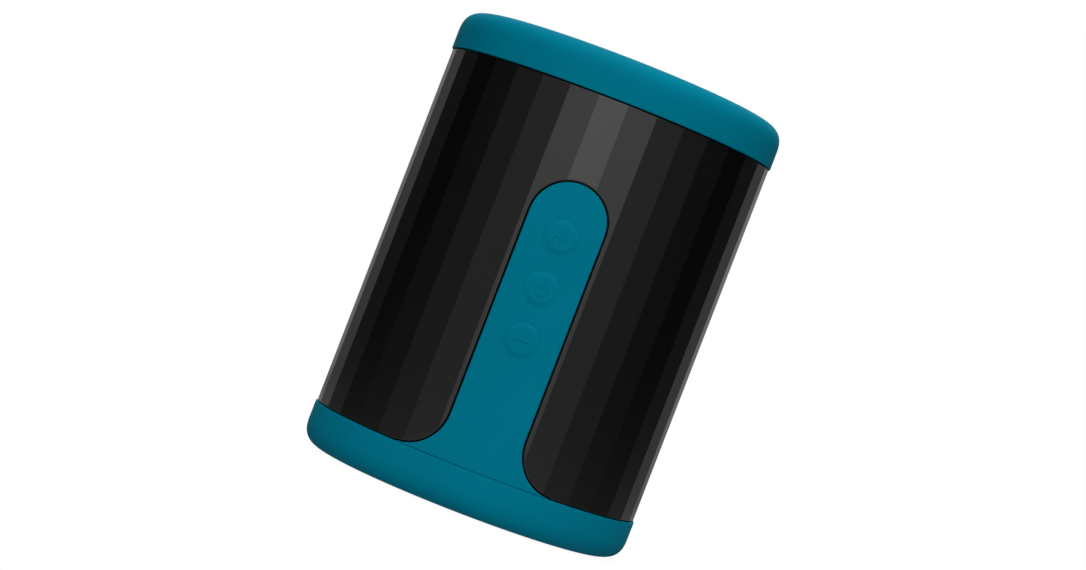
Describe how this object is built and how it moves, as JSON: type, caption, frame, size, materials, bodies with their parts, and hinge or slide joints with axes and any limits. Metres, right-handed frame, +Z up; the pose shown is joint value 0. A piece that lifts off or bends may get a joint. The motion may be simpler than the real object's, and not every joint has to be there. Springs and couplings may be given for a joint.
{
  "type": "portable bluetooth speaker",
  "caption": "Upright can-shaped portable loudspeaker with a faceted black sleeve, soft end caps, a front control strip with round buttons, a recessed top grille and a rear port flap.",
  "frame": {"origin": "centre of the rest face, at the bottom of the lower cap", "axes": "+Z up along the tube's axis, the control strip faces -Y, the port flap faces +Y"},
  "size_m": [0.08, 0.08, 0.1084],
  "materials": {
    "teal_silicone": "matte soft-touch silicone, petrol blue",
    "sleeve_black": "satin black, fine grain, flat facets",
    "black_plastic": "fine spark texture",
    "switch_ivory": "as moulded",
    "circuit_board": "solder mask",
    "plated_steel": "zinc plated",
    "can_aluminium": "drawn can",
    "ribbon_amber": "polyimide film",
    "grille_paint": "black powder coat",
    "mesh_cloth": "fine woven acoustic cloth",
    "foam_black": "closed-cell foam",
    "ferrite": "sintered, ground faces",
    "terminal_brass": "tinned tags",
    "soft_rubber": "butyl rubber",
    "spider_cloth": "resin-dipped cotton",
    "cone_paper": "coated paper",
    "coil_copper": "enamelled wire",
    "cell_wrap": null,
    "wire_red": "PVC insulation",
    "wire_black": "PVC insulation",
    "led_lens": "frosted light guide"
  },
  "bodies": {
    "housing": {"bottom_bumper": "teal_silicone", "top_bumper": "teal_silicone", "control_strip": "teal_silicone", "flap_anchor": "teal_silicone", "body_sleeve": "sleeve_black", "key_frame": "black_plastic", "chassis": "black_plastic", "base_plate": "black_plastic", "grille_frame": "black_plastic", "port_panel": "black_plastic", "battery_cradle": "black_plastic", "key_switches": "black_plastic", "amplifier_chip": "black_plastic", "power_inductors": "black_plastic", "board_connectors": "switch_ivory", "key_board": "circuit_board", "main_board": "circuit_board", "key_board_screws": "plated_steel", "base_screws": "plated_steel", "grille_frame_screws": "plated_steel", "driver_screws": "plated_steel", "board_screws": "plated_steel", "driver_basket": "plated_steel", "driver_top_plate": "plated_steel", "driver_yoke": "plated_steel", "battery_tabs": "plated_steel", "bluetooth_module": "plated_steel", "usb_socket": "plated_steel", "board_capacitors": "can_aluminium", "key_ribbon": "ribbon_amber", "top_grille": "grille_paint", "dust_mesh": "mesh_cloth", "driver_gasket": "foam_black", "battery_pads": "foam_black", "driver_magnet": "ferrite", "driver_terminals": "terminal_brass", "driver_surround": "soft_rubber", "cable_grommet": "soft_rubber", "driver_spider": "spider_cloth", "battery_cell": "cell_wrap", "battery_wires": "wire_red", "speaker_wires": "wire_black", "charge_led": "led_lens"},
    "plus_key": {"button_plus": "teal_silicone", "plunger_plus": "switch_ivory"},
    "power_key": {"button_power": "teal_silicone", "plunger_power": "switch_ivory"},
    "minus_key": {"button_minus": "teal_silicone", "plunger_minus": "switch_ivory"},
    "cone_assembly": {"speaker_cone": "cone_paper", "dust_cap": "cone_paper", "voice_coil": "coil_copper"},
    "flap": {"port_flap": "teal_silicone"}
  },
  "joints": [
    {"name": "press_plus", "type": "slide", "parent": "housing", "child": "plus_key", "axis": [0, 1, 0], "range_m": [0, 0.0005], "stiffness_N_per_m": 2000},
    {"name": "press_power", "type": "slide", "parent": "housing", "child": "power_key", "axis": [0, 1, 0], "range_m": [0, 0.0005], "stiffness_N_per_m": 2000},
    {"name": "press_minus", "type": "slide", "parent": "housing", "child": "minus_key", "axis": [0, 1, 0], "range_m": [0, 0.0005], "stiffness_N_per_m": 2000},
    {"name": "cone_travel", "type": "slide", "parent": "housing", "child": "cone_assembly", "axis": [0, 0, 1], "range_m": [-0.0015, 0.0015], "stiffness_N_per_m": 1500, "deforming": ["driver_surround", "driver_spider"]},
    {"name": "flap_hinge", "type": "hinge", "parent": "housing", "child": "flap", "pos_m": [0, 0.0395, 0.01703], "axis": [-1, 0, 0], "range_deg": [0, 110], "stiffness_Nm_per_rad": 0.0015}
  ]
}
